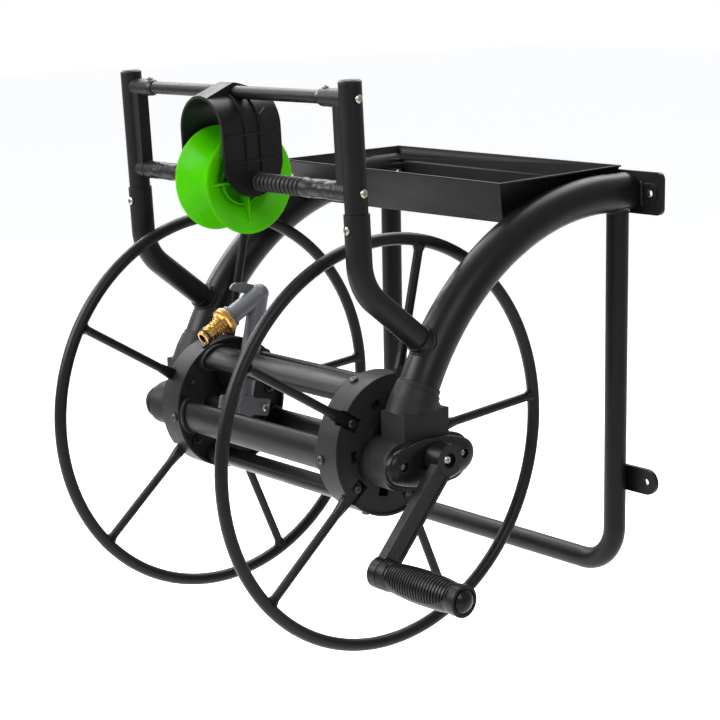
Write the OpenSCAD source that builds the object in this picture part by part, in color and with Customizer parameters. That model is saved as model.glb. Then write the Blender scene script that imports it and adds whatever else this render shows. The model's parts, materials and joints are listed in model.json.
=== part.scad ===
// Wall mounted hose reel with a hose guide that travels from side to side.
// Millimetres. The wall is the plane y = 0 and the reel hangs in front of it, towards -Y.
// The origin is the centre of the four wall bolts. The crank is on the +X side.

/* [Wall fixing] */
// Distance sideways from the plane of a side frame to its wall bolts
bolt_side = 36; // [30:1:44]
// Distance between the wall bolts, up and down
wall_span_z = 334; // [300:1:350]
// Radius of a wall bolt hole
wall_hole_r = 4; // [3:0.5:5]
// Thickness of the wall plates
plate_t = 5; // [4:0.5:6]
// Height of an upper wall plate
plate_h = 48; // [46:1:60]
// Height of a lower wall tab
tab_h = 30; // [24:1:34]
// Material left round a bolt hole towards the side
plate_edge = 18; // [14:1:22]

/* [Frame tubes] */
// Distance from the middle to the plane of each side frame
frame_half = 195; // [190:1:200]
// Outer diameter of the arch tubes
arch_d = 43.5; // [40:0.5:46]
// Wall of the frame tubes
tube_wall = 2; // [1.5:0.25:2.5]
// Straight length of the arch tube in front of the wall plate
arch_straight = 40; // [34:1:60]
// Bend radius of the arch tube, to its centre
arch_bend_r = 305; // [290:1:320]
// Angle through which the arch tube falls
arch_fall = 64; // [60:1:67]
// Straight tail of the arch tube in the collar of the housing
arch_tail = 24; // [20:1:28]
// Outer diameter of the rear U tube
rear_d = 25.5; // [22:0.5:28]
// Height of the rear crossbar below the wall bolts' centre
rear_drop = 273.5; // [250:1:290]
// Bend radius of the rear U tube, to its centre
rear_bend_r = 48; // [40:1:60]

/* [Hose guide] */
// Angle on the arch bend where the guide arm is welded, from the bend's end
arm_station = 6.5; // [4:0.5:10]
// Outer diameter of the guide arm
arm_d = 27; // [26.5:0.25:28]
// Wall of the guide arm
arm_wall = 1.35; // [1.2:0.05:1.6]
// Length of the sloping run of the guide arm
arm_run = 98; // [90:1:110]
// Bend radius of the guide arm
arm_bend_r = 56; // [50:1:65]
// Bend of the guide arm
arm_bend = 49; // [45:1:52]
// Straight upper end of the guide arm
arm_top = 51; // [45:1:60]
// Forward lean of the guide posts
post_lean = 2.5; // [0:0.5:5]
// Diameter of the guide posts
post_d = 24; // [22:0.25:24]
// Length of post hidden in the arm
post_insert = 30; // [20:1:40]
// Height of the post above the lower bar
post_top = 109; // [105:1:125]
// Height of the lower bar above the end of the arm
bar_lift = 21.5; // [18:0.5:26]
// Distance between the two bars
bar_gap = 93.6; // [90:0.1:98]
// Diameter of both bars
bar_d = 14; // [12:0.5:15]
// Place of the hood along the bars
hood_x = -9; // [-20:1:20]
// Width of the hood along the bars
hood_w = 77; // [74:1:84]
// Depth of the hood from front to back
hood_d = 77; // [70:1:84]
// Wall of the hood
hood_t = 3; // [2.5:0.25:4]
// Reach of the hood's cheeks below the lower bar
hood_drop = 16.5; // [14:0.5:20]
// Radius of the pulley's flanges
pulley_r = 57; // [50:0.5:60]
// Width over the pulley's flanges
pulley_w = 57; // [50:1:60]
// Radius of the bottom of the pulley's groove
groove_r = 24; // [20:0.5:30]
// Number of webs on each side of the pulley
pulley_webs = 4; // [3:1:8]
// Length of the smooth cuff of each sleeve
cuff_l = 62; // [54:1:64]
// Radius of the sleeves
sleeve_r = 9.9; // [9.6:0.1:10.5]
// Number of ribs on each sleeve
sleeve_ribs = 11; // [8:1:13]

/* [Tray] */
// How far the tray's rim ends inside the plane of a side frame
tray_inset = 9; // [5:1:15]
// Distance from the wall to the rear edge of the tray
tray_back = 8; // [6:1:20]
// Distance from the wall to the front edge of the tray
tray_front = 190; // [170:1:200]
// Height of the rim above the wall bolts
tray_rim = 28; // [26:1:34]
// Depth of the tray
tray_depth = 51; // [40:1:52]
// Slope of the tray's walls, sideways over the depth
tray_flare = 16; // [8:1:20]
// Wall of the tray
tray_t = 2; // [1.5:0.25:3.5]

/* [Drum and wheels] */
// How far the plane of a wheel lies inside the outer face of its hub disc
wheel_inset = 7; // [5:0.5:9]
// Radius of the wheel ring, to the tube's centre
wheel_r = 220; // [200:1:224]
// Diameter of the ring's tube
ring_d = 13.8; // [12:0.2:15]
// Diameter of a spoke
spoke_d = 10; // [8:0.5:10]
// Number of spokes, tubes and sockets
spokes = 5; // [5:1:5]
// Angle of the first spoke
spoke_turn = 5; // [0:1:71]
// Outer radius of the hub discs
disc_r = 77.6; // [76:0.2:82]
// Width of a hub disc's rim
disc_w = 32; // [28:1:34]
// Gap between a hub disc and its housing
disc_gap = 5; // [4.5:0.5:8]
// Distance from the axle to the centre of a drum tube
tube_pitch = 63; // [60:0.5:63]
// Long half width of a drum tube
oval_a = 18.5; // [16:0.5:19]
// Short half width of a drum tube
oval_b = 10.4; // [9:0.2:10.4]
// Radius of the axle
axle_r = 12; // [10:0.5:12.5]

/* [Housing] */
// Height from the axle to the floor of the collar's socket
socket_rise = 52; // [50:1:56]
// Reach of a housing inwards from the plane of its side frame
housing_reach = 30; // [27:0.5:31]
// Reach of a housing outwards from the plane of its side frame
housing_side = 24.5; // [24:0.5:29]
// End radius of the housing's body, where it faces the drum
barrel_r = 28; // [26:1:31]
// Half length of the oval cover
cover_a = 60; // [55:1:62]
// Half height of the oval cover
cover_b = 26; // [24:0.5:28]
// Height of the cover's crown
cover_crown = 8; // [6:0.5:10]

/* [Crank] */
// Distance from the axle to the grip pin
crank_r = 136; // [120:1:150]
// Direction of the crank arm at rest
crank_turn = 229; // [0:1:359]
// Distance from the outer face of a housing to the outer face of the crank arm
crank_side = 31; // [29:0.5:36]
// Thickness of the arm
arm_t = 11.5; // [10:0.5:13]
// Width of the arm
arm_w = 23; // [20:1:26]
// Length of the grip
grip_l = 114; // [100:1:125]
// Radius of the grip at its middle
grip_r = 17.9; // [17:0.1:19]
// Radius of the grip pin
pin_r = 5; // [4:0.25:6]

/* [Water outlet] */
// Distance from the axle to the elbow
elbow_r = 132; // [125:1:142]
// Distance from the inner edge of the hub disc's rim back to the middle of the riser
pipe_back = 20; // [18:1:24]
// Radius of the outlet pipe
pipe_r = 10.6; // [10:0.1:11]
// Length of the pipe after the elbow
pipe_run = 53; // [48:1:58]
// Direction of the pipe after the elbow
pipe_turn = 207; // [200:1:214]
// Radius of the connector's nut
nut_r = 16.1; // [15:0.1:17]
// Radius of the connector's nose
nose_r = 8.8; // [8:0.1:9.5]
// Radius of the inlet nose on the far side
inlet_r = 9; // [8:0.25:10]

/* [Hidden] */

$fn = 96;
// Running clearance of a shaft in its bore, on the radius
run_gap = 0.06;
// Gap between two fixed pieces that slip together
slip_gap = 0.1;
// Gap between moving faces
face_gap = 0.3;
// Small step that keeps round and straight edges from lying on each other
nib = 0.01;
// Extra radius of a bend, and length by which a straight tube runs into it
swell = 0.05;
lap = 0.5;

arch_r = arch_d / 2;
arch_z = wall_span_z / 2;
wall_span_x = 2 * (frame_half + bolt_side);
tray_half = frame_half - tray_inset;
housing_in = frame_half - housing_reach;
housing_out = frame_half + housing_side;
disc_out = housing_in - disc_gap;
wheel_half = disc_out - wheel_inset;
crank_face = housing_out + crank_side;
bend_y = -plate_t - arch_straight;
bend_z = arch_z - arch_bend_r;
bend_end_y = bend_y - arch_bend_r * sin(arch_fall);
bend_end_z = bend_z + arch_bend_r * cos(arch_fall);
tail_y = bend_end_y - arch_tail * cos(arch_fall);
tail_z = bend_end_z - arch_tail * sin(arch_fall);
axle_y = tail_y;
axle_z = tail_z - socket_rise;

rear_r = rear_d / 2;
rear_y = -plate_t - rear_r;

arm_angle = 90 + arch_fall - arm_station;
arm_y = bend_y + arch_bend_r * cos(arm_angle);
arm_z = bend_z + arch_bend_r * sin(arm_angle);
arm_slope = 90 + post_lean + arm_bend;
arm_turn_y = arm_bend_r * (sin(arm_slope) - sin(90 + post_lean));
arm_turn_z = arm_bend_r * (cos(90 + post_lean) - cos(arm_slope));
arm_rise = arm_top + bar_lift;
guide_y = arm_y + arm_run * cos(arm_slope) + arm_turn_y - arm_rise * sin(post_lean);
guide_z = arm_z + arm_run * sin(arm_slope) + arm_turn_z + arm_rise * cos(post_lean);

arm_r = arm_d / 2;
post_r = post_d / 2;
bar_r = bar_d / 2;
bar_bore = bar_r + run_gap;
bar_end = frame_half - post_r - 6;
socket_top_l = 35;
socket_low_l = 55;
socket_r = 8.6;
strip_w = 9;
set_screw_in = 26;
post_face = frame_half - post_r;
sleeve_out = post_face - strip_w - 1;
cuff_in = sleeve_out - cuff_l;
cheek_boss = 4;

disc_in = disc_out - disc_w;
web_in = disc_in + 8;
tube_end = disc_in + 16;
pocket_x = wheel_half - 3;
tab_t = 6;
bush_flange = 4;
hub_face = housing_in - bush_flange - face_gap;
hub_r = 20;
disc_wall = 3;
screw_r = 2.5;
hole_r = screw_r + slip_gap;
screw_pitch = 62;

boss_in = housing_out + cover_crown + 2;
pin_y = crank_r * cos(crank_turn);
pin_z = crank_r * sin(crank_turn);
boss_r = 17;
square_l = 12;
grip_in = crank_face + 1;
grip_out = grip_in + grip_l;

tray_floor = arch_z + tray_rim - tray_depth;
pipe_x = disc_in - pipe_back;
pipe_aim = spoke_turn + 72;
riser_r = pipe_r + 0.5;
swivel_out = pipe_x - riser_r - 0.5;
ear_back = swivel_out + 10;

steel = [0.16, 0.16, 0.17];
plastic = [0.12, 0.12, 0.13];
zinc = [0.75, 0.73, 0.66];

// Draws in the Y-Z plane and extrudes along +X
module yz() {
    rotate([90, 0, 90]) children();
}

// Draws in the X-Z plane and extrudes along -Y
module xz() {
    rotate([90, 0, 0]) children();
}

// Moves to the axle, with X along it
module at_axle() {
    translate([0, axle_y, axle_z]) children();
}

// Turns a piece about the axle
module spin(a) {
    rotate([a, 0, 0]) children();
}

// Moves to the lower bar, leaning with the posts
module at_guide() {
    translate([0, guide_y, guide_z]) rotate([post_lean, 0, 0]) children();
}

// Makes the left copy of a piece that is drawn on the right
module on_side(s) {
    if (s > 0) children();
    else mirror([1, 0, 0]) children();
}

// Solid round bar along X
module rod_x(r, x0, x1) {
    translate([x0, 0, 0]) rotate([0, 90, 0]) cylinder(r = r, h = x1 - x0);
}

// Round bar along X with a cone shape
module cone_x(r0, r1, x0, x1) {
    translate([x0, 0, 0]) rotate([0, 90, 0]) cylinder(r1 = r0, r2 = r1, h = x1 - x0);
}

// Solid bent bar in the Y-Z plane about the origin, from one angle over a sweep
module bend_yz(big, r, start, sweep) {
    yz() rotate([0, 0, start]) rotate_extrude(angle = sweep, $fn = 144) translate([big, 0])
        circle(r = r + swell);
}

// Flat oval with four arcs: half length a, half height b, end radius e
module oval(a, b, e) {
    half = a - e;
    big = (half * half + b * b - e * e) / (2 * (b - e));
    reach = half * big / (big - e);
    intersection() {
        translate([0, b - big]) circle(r = big, $fn = 180);
        translate([0, big - b]) circle(r = big, $fn = 180);
        square([2 * reach, 4 * b], center = true);
    }
    for (s = [-1, 1]) translate([s * half, 0]) circle(r = e + nib);
}

// Rectangle with round corners
module round_rect(w, h, r) {
    square([w - 2 * r, h], center = true);
    square([w, h - 2 * r], center = true);
    for (sx = [-1, 1], sy = [-1, 1]) translate([sx * (w / 2 - r), sy * (h / 2 - r)]) circle(r = r);
}

// Pan head screw along +X: its seat is at x = 0, its head stands out to +X
module pan_screw(r, head_r, head_h, l) {
    difference() {
        union() {
            rod_x(r, -l, 0.5);
            rod_x(head_r, 0, head_h * 0.6);
            cone_x(head_r, head_r * 0.7, head_h * 0.6, head_h);
        }
        translate([head_h, 0, 0]) cube([head_h, head_r * 0.25, head_r], center = true);
        translate([head_h, 0, 0]) cube([head_h, head_r, head_r * 0.25], center = true);
    }
}

// Whole space of an arch tube of radius r, from the wall plate to the end of its tail
module arch_space(r) {
    translate([frame_half, 0, 0]) {
        translate([0, -plate_t, arch_z]) rotate([90, 0, 0]) cylinder(r = r, h = arch_straight + lap);
        translate([0, bend_y, bend_z]) bend_yz(arch_bend_r, r, 90, arch_fall);
        translate([0, tail_y, tail_z]) rotate([arch_fall - 90, 0, 0]) cylinder(r = r, h = arch_tail + lap);
    }
}

module arch_tube() {
    color(steel) difference() {
        arch_space(arch_r);
        arch_space(arch_r - tube_wall);
        tray_screw_places() rod_x(hole_r, -3 * tube_wall, tray_t);
    }
}
module left_arch_tube() { on_side(-1) arch_tube(); }
module right_arch_tube() { on_side(1) arch_tube(); }

// Whole space of the rear U tube
module rear_space(r) {
    low = -rear_drop + rear_bend_r;
    span = 2 * (frame_half - rear_bend_r);
    for (s = [-1, 1]) on_side(s) {
        translate([frame_half, rear_y, low - lap]) cylinder(r = r, h = arch_z - low + lap);
        translate([frame_half - rear_bend_r, rear_y, low]) xz() rotate([0, 0, -90])
            rotate_extrude(angle = 90) translate([rear_bend_r, 0]) circle(r = r + swell);
    }
    translate([0, rear_y, -rear_drop]) rod_x(r, -span / 2 - lap, span / 2 + lap);
}

module rear_frame_tube() {
    color(steel) difference() {
        rear_space(rear_r);
        rear_space(rear_r - tube_wall);
        for (s = [-1, 1]) on_side(s) arch_space(arch_r);
    }
}

// Upper wall plate: it runs from behind the arch tube to past the bolt
module wall_plate() {
    inner = frame_half - arch_r;
    outer = wall_span_x / 2 + plate_edge;
    w = outer - inner;
    color(steel) difference() {
        union() {
            translate([inner + w / 2, 0, arch_z]) xz() linear_extrude(plate_t) round_rect(w, plate_h, 8);
            translate([wall_span_x / 2, -plate_t, arch_z]) xz() linear_extrude(2) difference() {
                union() {
                    circle(r = wall_hole_r + 7.5);
                    translate([-12, -wall_hole_r - 7.5 + nib]) square([12, 2 * (wall_hole_r + 7.5 - nib)]);
                }
                circle(r = wall_hole_r + 4.5);
                translate([-14, -wall_hole_r - 4.5 + nib]) square([14, 2 * (wall_hole_r + 4.5 - nib)]);
            }
        }
        translate([wall_span_x / 2, plate_t, arch_z]) xz() cylinder(r = wall_hole_r, h = 4 * plate_t);
        arch_space(arch_r);
    }
}
module left_wall_plate() { on_side(-1) wall_plate(); }
module right_wall_plate() { on_side(1) wall_plate(); }

// Lower tab: a flat strip with a round end, welded behind the upright
module lower_tab() {
    outer = wall_span_x / 2;
    inner = frame_half - rear_r / 2;
    color(steel) difference() {
        translate([0, 0, -arch_z]) xz() linear_extrude(plate_t) {
            translate([inner, -tab_h / 2]) square([outer - inner, tab_h]);
            translate([outer, 0]) circle(r = tab_h / 2);
        }
        translate([wall_span_x / 2, plate_t, -arch_z]) xz() cylinder(r = wall_hole_r, h = 3 * plate_t);
    }
}
module left_lower_tab() { on_side(-1) lower_tab(); }
module right_lower_tab() { on_side(1) lower_tab(); }

// Puts a piece where the guide arm meets the arch, with Z up the sloping run
module on_arm_joint() {
    translate([frame_half, arm_y, arm_z]) rotate([arm_slope - 90, 0, 0]) children();
}

// Whole space of a guide arm of radius r
module arm_space(r) {
    on_arm_joint() cylinder(r = r, h = arm_run + lap);
    at_guide() translate([frame_half, 0, -arm_rise]) {
        translate([0, 0, -lap]) cylinder(r = r, h = arm_top + lap);
        translate([0, arm_bend_r, 0]) bend_yz(arm_bend_r, r, 180, arm_bend);
    }
}

module guide_arm() {
    color(steel) difference() {
        union() {
            arm_space(arm_r);
            on_arm_joint() cylinder(r = arm_r + 1.8, h = arch_r + 4);
        }
        arm_space(arm_r - arm_wall);
        arch_space(arch_r);
        arm_screw_place() rod_x(hole_r, -2 * arm_wall, arm_wall);
    }
}
module left_guide_arm() { on_side(-1) guide_arm(); }
module right_guide_arm() { on_side(1) guide_arm(); }

// Seat of the screw that holds the post in the arm, on the front of the arm
module arm_screw_place() {
    at_guide() translate([frame_half, 0, -bar_lift - post_insert / 2]) rotate([0, 0, -90])
        translate([arm_r, 0, 0]) children();
}

module guide_post() {
    color(steel) difference() {
        at_guide() translate([frame_half, 0, -bar_lift - post_insert])
            cylinder(r = post_r, h = post_top + bar_lift + post_insert);
        at_guide() translate([frame_half, 0, -bar_lift - post_insert - 1])
            cylinder(r = post_r - 1.5, h = post_top + bar_lift + post_insert + 2);
        arm_screw_place() rod_x(hole_r, -arm_r, 0);
        post_screw_places() rod_x(hole_r, -2 * post_d, 1);
    }
}
module left_guide_post() { on_side(-1) guide_post(); }
module right_guide_post() { on_side(1) guide_post(); }

// Seats of the two screws on the outer side of a post
module post_screw_places() {
    at_guide() for (z = [0, bar_gap]) translate([frame_half + post_r, 0, z]) children();
}

module post_cap() {
    color(plastic) at_guide() translate([frame_half, 0, post_top]) {
        cylinder(r = post_r, h = 1.5);
        translate([0, 0, 1.5]) cylinder(r1 = post_r, r2 = post_r - 2, h = 1.5);
        translate([0, 0, -8]) cylinder(r = post_r - 1.5 - slip_gap, h = 8);
    }
}
module left_post_cap() { on_side(-1) post_cap(); }
module right_post_cap() { on_side(1) post_cap(); }

// Moulded bracket: two sockets for the bars and a strip that hugs the post
module bar_bracket() {
    corner = 7;
    end = post_face - socket_top_l;
    color(plastic) difference() {
        at_guide() {
            translate([0, 0, bar_gap]) {
                cone_x(bar_r + 0.8, bar_r + 2.4, end, end + 5);
                cone_x(bar_r + 2.4, bar_r + 2.9, end + 5 - nib, frame_half);
            }
            rod_x(socket_r, sleeve_out - socket_low_l + 15, frame_half);
            rod_x(sleeve_r, sleeve_out + slip_gap, frame_half);
            translate([0, 7, 0]) xz() linear_extrude(14) {
                translate([post_face - strip_w + corner, 0])
                    square([strip_w - corner + post_r, bar_gap + 4]);
                translate([post_face - strip_w, 0]) square([strip_w, bar_gap + 4 - corner]);
                translate([post_face - strip_w + corner, bar_gap + 4 - corner]) circle(r = corner);
            }
            translate([post_face - strip_w, 0, 0]) rotate([0, 90, 0]) cylinder(r = 10, h = strip_w + 6);
        }
        at_guide() translate([frame_half, 0, -post_top]) cylinder(r = post_r, h = 3 * post_top);
        at_guide() for (z = [0, bar_gap]) translate([0, 0, z]) {
            rod_x(bar_r, 0, bar_end);
            rod_x(hole_r, 0, frame_half);
        }
        set_screw_place() rod_x(hole_r, -3, 1);
    }
}

// Seat of the set screw on top of the upper socket
module set_screw_place() {
    at_guide() translate([post_face - set_screw_in, 0, bar_gap + bar_r + 2.6]) rotate([0, -90, 0])
        children();
}

module left_bar_bracket() { on_side(-1) bar_bracket(); }
module right_bar_bracket() { on_side(1) bar_bracket(); }

module guide_bar(z) {
    color(steel) at_guide() translate([0, 0, z]) difference() {
        rod_x(bar_r, -bar_end, bar_end);
        for (s = [-1, 1]) on_side(s) rod_x(hole_r, bar_end - 12, bar_end + 1);
    }
}
module guide_top_bar() { guide_bar(bar_gap); }
module guide_lower_bar() { guide_bar(0); }

module post_screws() {
    color(zinc) for (s = [-1, 1]) on_side(s) {
        post_screw_places() pan_screw(screw_r, 4.3, 2.6, 2 * post_r + 12);
        set_screw_place() pan_screw(screw_r, 3.4, 2.4, 2.4);
    }
}

module arm_screws() {
    color(zinc) for (s = [-1, 1]) on_side(s) arm_screw_place() pan_screw(screw_r, 4.3, 2.6, 8);
}

// Flared tray space inside walls of thickness t: all sides slope inwards going down
module tray_space(t, above) {
    slope = tray_flare / tray_depth;
    deep = tray_depth - t;
    half = tray_half - t;
    front = tray_front - t;
    back = tray_back + t;
    translate([0, 0, tray_floor + t]) intersection() {
        translate([0, tray_front, 0]) xz() linear_extrude(3 * tray_front)
            polygon([[-half + slope * deep, 0], [half - slope * deep, 0], [half + slope * above,
                deep + above],
                [-half - slope * above, deep + above]]);
        translate([-tray_half - 20, 0, 0]) yz() linear_extrude(2 * tray_half + 40)
            polygon([[-front + slope * deep, 0], [-back - slope * deep / 4, 0],
                [-back + slope * above / 4, deep + above], [-front - slope * above, deep + above]]);
    }
}

// Saddle of the tray over the right arch tube
module tray_saddle() {
    intersection() {
        tray_space(swell, 0);
        difference() {
            arch_space(arch_r + slip_gap + tray_t);
            arch_space(arch_r + slip_gap);
        }
    }
}

// Tray with a narrow folded rim and a saddle over each arch tube
module tool_tray() {
    rim = 1;
    color(steel) difference() {
        union() {
            difference() {
                union() {
                    tray_space(0, 0);
                    translate([-tray_half - rim, -tray_front - rim, tray_floor + tray_depth - 2 * rim])
                        cube([2 * (tray_half + rim), tray_front - tray_back + 2 * rim, 2 * rim + nib]);
                }
                tray_space(tray_t, 5);
                for (s = [-1, 1]) on_side(s) arch_space(arch_r + slip_gap + tray_t / 2);
            }
            for (s = [-1, 1]) on_side(s) tray_saddle();
        }
        for (s = [-1, 1]) on_side(s) tray_screw_places() rod_x(hole_r, -1, 2 * tray_t);
    }
}

// Seats of the tray's screws on the inner side of each saddle
module tray_screw_places() {
    seat = frame_half - arch_r - slip_gap - tray_t;
    for (y = [-26, -52]) translate([seat, y, arch_z - 1]) mirror([1, 0, 0]) translate([-tray_t, 0, 0])
        children();
}

module tray_screws() {
    color(zinc) for (s = [-1, 1]) on_side(s) tray_screw_places()
        translate([tray_t + 0.2, 0, 0]) pan_screw(screw_r, 4.5, 2.8, 8);
}

// Outline of the housing's body where it faces the drum, and where it meets the flange
module body_outline(r, half, drop) {
    translate([-half, drop]) circle(r = r, $fn = 48);
    translate([half, drop]) circle(r = r, $fn = 48);
}

// Housing: a collar for the arch tube, a block, and a body that holds the bush
module housing() {
    lip = 4;
    block_w = 2 * (housing_out - lip - frame_half) - 4;
    block_top = socket_rise - 6;
    color(plastic) difference() {
        union() {
            at_axle() {
                translate([housing_out - lip - block_w, -31, 10]) cube([block_w, 62, block_top - 10]);
                hull() {
                    translate([housing_in, 0, 0]) yz() linear_extrude(4)
                        body_outline(barrel_r, cover_a - 11 - barrel_r, -11);
                    translate([housing_out - lip - 4, 0, 0]) yz() linear_extrude(4)
                        body_outline(cover_b, cover_a - cover_b, -8);
                }
                translate([housing_out - lip, 0, -8]) yz() linear_extrude(lip)
                    oval(cover_a + 1, cover_b + 2, 18.5);
            }
            intersection() {
                translate([frame_half, tail_y, tail_z]) rotate([arch_fall - 90, 0, 0]) {
                    translate([0, 0, -30]) cylinder(r = arch_r + 4.5, h = 31);
                    cylinder(r = arch_r + 1.5, h = arch_tail - 4);
                    difference() {
                        cylinder(r1 = arch_r + 4.5, r2 = arch_r + 2.2, h = arch_tail - 4);
                        translate([0, 0, arch_tail - 8]) rotate([0, 7, 0]) translate([-60, -60, 0])
                            cube([120, 120, 40]);
                    }
                }
                at_axle() hull() {
                    translate([frame_half - block_w / 2 - 4, -30.5, block_top - 1])
                        cube([block_w + 8, 61, 1]);
                    translate([frame_half - 30, -40, block_top + 9]) cube([60, 80, 50]);
                }
            }
        }
        translate([frame_half, tail_y, tail_z]) rotate([arch_fall - 90, 0, 0])
            cylinder(r = arch_r + slip_gap, h = 2 * arch_tail);
        at_axle() {
            rod_x(axle_r + 4, housing_in - 1, housing_out + 1);
            cover_screw_places() rod_x(hole_r, -25, 1);
        }
    }
}
module left_housing() { on_side(-1) housing(); }
module right_housing() { on_side(1) housing(); }

// Seats of the two cover screws, from the axle
module cover_screw_places() {
    for (s = [-1, 1]) translate([housing_out, s * 42, -4]) children();
}

// Oval cover with a rounded face; its screws sit in round recesses
module housing_cover(bore) {
    color(plastic) at_axle() difference() {
        union() {
            hull() for (i = [0:5]) {
                back = (1 - cos(18 * i)) * 1.5 * cover_crown;
                translate([housing_out, 0, -6]) yz() linear_extrude(1.5 + (cover_crown - 1.5) * sin(18 * i))
                    oval(cover_a - back, cover_b - back, 18 - back, $fn = 40);
            }
            cover_screw_places() rod_x(6.2, 1, cover_crown + 0.5);
        }
        rod_x(bore, housing_out - 1, housing_out + 2 * cover_crown);
        cover_screw_places() {
            rod_x(hole_r, -1, 20);
            rod_x(5.2, 2.5, 20);
        }
    }
}
module left_housing_cover() { on_side(-1) housing_cover(inlet_r + 1 + slip_gap); }
module right_housing_cover() { on_side(1) housing_cover(axle_r + 0.5); }

module housing_screws() {
    color(zinc) for (s = [-1, 1]) on_side(s) at_axle() cover_screw_places()
        translate([2.5, 0, 0]) pan_screw(screw_r, 4.3, 2.6, 20);
}

// Bush with a thrust flange between the housing and the hub
module bush() {
    color([0.55, 0.53, 0.48]) at_axle() difference() {
        union() {
            rod_x(axle_r + 4 - nib, housing_in, housing_out - 2);
            rod_x(hub_r, housing_in - bush_flange, housing_in);
        }
        rod_x(axle_r + run_gap, housing_in - bush_flange - 1, housing_out + 1);
    }
}
module left_bush() { on_side(-1) bush(); }
module right_bush() { on_side(1) bush(); }

// Inlet nose for the supply hose, on the side away from the crank
module inlet_spigot() {
    face = housing_out + cover_crown;
    color("goldenrod") at_axle() on_side(-1) difference() {
        union() {
            rod_x(inlet_r + 1, housing_out + 1, face);
            rod_x(13, face, face + 8);
            rod_x(inlet_r, face + 8, face + 24);
            cone_x(inlet_r, inlet_r - 1.5, face + 24, face + 27);
            for (i = [0:2]) cone_x(inlet_r + 0.9, inlet_r, face + 11 + 4 * i, face + 14 + 4 * i);
        }
        rod_x(inlet_r - 4, housing_out, face + 30);
    }
}

// Space of the drum's five flat-oval tubes, grown by g
module tube_spaces(g, x0, x1) {
    for (i = [0:spokes - 1]) spin(spoke_turn + (i + 0.5) * 360 / spokes)
        translate([x0, 0, 0]) yz() translate([tube_pitch, 0]) linear_extrude(x1 - x0)
            rotate([0, 0, 90]) oval(oval_a + g, oval_b + g, 7 + g);
}

// Places of the spokes, with Y outwards along each spoke
module each_spoke() {
    for (i = [0:spokes - 1]) spin(spoke_turn + i * 360 / spokes) children();
}

// Places of the radial screws that hold the drum tubes in the discs
module disc_screw_places() {
    for (i = [0:spokes - 1]) spin(spoke_turn + (i + 0.5) * 360 / spokes)
        translate([disc_in + 7, disc_r - 0.6, 0]) rotate([0, 0, 90]) children();
}

// Hub disc: a rim, a web with sockets for the tubes and pockets for the spokes
module hub_disc() {
    tab_in = screw_pitch - 10;
    color(plastic) at_axle() difference() {
        union() {
            difference() {
                rod_x(disc_r, disc_in, disc_out);
                rod_x(disc_r - disc_wall, disc_in - 1, web_in);
                rod_x(disc_r - disc_wall, disc_out - 2, disc_out + 1);
            }
            rod_x(34, web_in, disc_out);
            rod_x(hub_r, disc_in, hub_face);
            intersection() {
                tube_spaces(3, disc_in - 6, web_in + 1);
                rod_x(disc_r, disc_in - 7, disc_out);
            }
            each_spoke() translate([0, screw_pitch, 0]) difference() {
                rod_x(7.4, web_in - 2, web_in + 1);
                rod_x(5.4, web_in - 3, web_in);
            }
            for (i = [0:spokes - 1]) spin(spoke_turn + (i + 0.5) * 360 / spokes)
                translate([disc_in + 3, 0, -1.5]) cube([web_in - disc_in, tube_pitch - oval_b, 3]);
        }
        tube_spaces(slip_gap, disc_in - 8, tube_end + 2);
        rod_x(axle_r + nib, 0, hub_face + 1);
        each_spoke() {
            translate([pocket_x, tab_in, -8.2]) cube([disc_w, disc_r, 16.4]);
            translate([pocket_x, tab_in, -8.2]) cube([disc_w, 2, 16.4]);
            translate([0, screw_pitch, 0]) rod_x(hole_r, disc_in, disc_out + 1);
        }
        for (i = [0:spokes - 1]) spin(spoke_turn + (i + 0.5) * 360 / spokes)
            translate([tube_end + 3.5, 46.5, -6.5]) cube([disc_w, 9, 13]);
        disc_screw_places() rod_x(hole_r, -12, 3);
    }
}
module left_hub_disc() {
    color(plastic) difference() {
        union() {
            on_side(-1) hub_disc();
            at_axle() on_side(-1) swivel_ears() rod_x(6.5, ear_back, web_in + 1);
        }
        at_axle() on_side(-1) swivel_ears() rod_x(hole_r, ear_back - 1, web_in - 1);
    }
}
module right_hub_disc() { on_side(1) hub_disc(); }

module drum_tubes() {
    color(steel) at_axle() difference() {
        tube_spaces(0, -tube_end, tube_end);
        tube_spaces(-1.5, -tube_end - 1, tube_end + 1);
        for (s = [-1, 1]) on_side(s) disc_screw_places() rod_x(hole_r, -12, 1);
    }
}

module disc_screws() {
    color(zinc) at_axle() for (s = [-1, 1]) on_side(s) disc_screw_places()
        translate([0.7, 0, 0]) pan_screw(screw_r, 4.7, 3, 9);
}

// Wheel: a tube ring, five spokes and their flattened ends
module wheel() {
    tab_out = disc_r + 12;
    color(steel) at_axle() difference() {
        union() {
            translate([wheel_half, 0, 0]) yz() rotate_extrude($fn = 180) translate([wheel_r, 0])
                circle(r = ring_d / 2, $fn = 48);
            each_spoke() {
                translate([wheel_half, tab_out - 4, 0]) rotate([-90, 0, 0])
                    cylinder(r = spoke_d / 2, h = wheel_r - tab_out + 4);
                translate([0, screw_pitch, 0]) rod_x(6 + nib, pocket_x, pocket_x + tab_t);
                translate([pocket_x, screw_pitch, -6]) cube([tab_t, tab_out - screw_pitch - 8, 12]);
                intersection() {
                    translate([wheel_half, tab_out - 9, 0]) rotate([-90, 0, 0])
                        cylinder(r1 = 7, r2 = spoke_d / 2 - 0.8, h = 26);
                    translate([wheel_half, tab_out - 9, -9]) linear_extrude(18)
                        polygon([[-tab_t / 2, 0], [tab_t / 2, 0], [spoke_d / 2 - 0.8, 26],
                            [0.8 - spoke_d / 2, 26]]);
                }
                translate([wheel_half, wheel_r - ring_d / 2 - 5, 0]) rotate([-90, 0, 0])
                    cylinder(r1 = spoke_d / 2, r2 = spoke_d / 2 + 2.5, h = 7);
            }
        }
        each_spoke() translate([0, screw_pitch, 0]) rod_x(hole_r, disc_in, disc_out + 1);
    }
}
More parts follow.
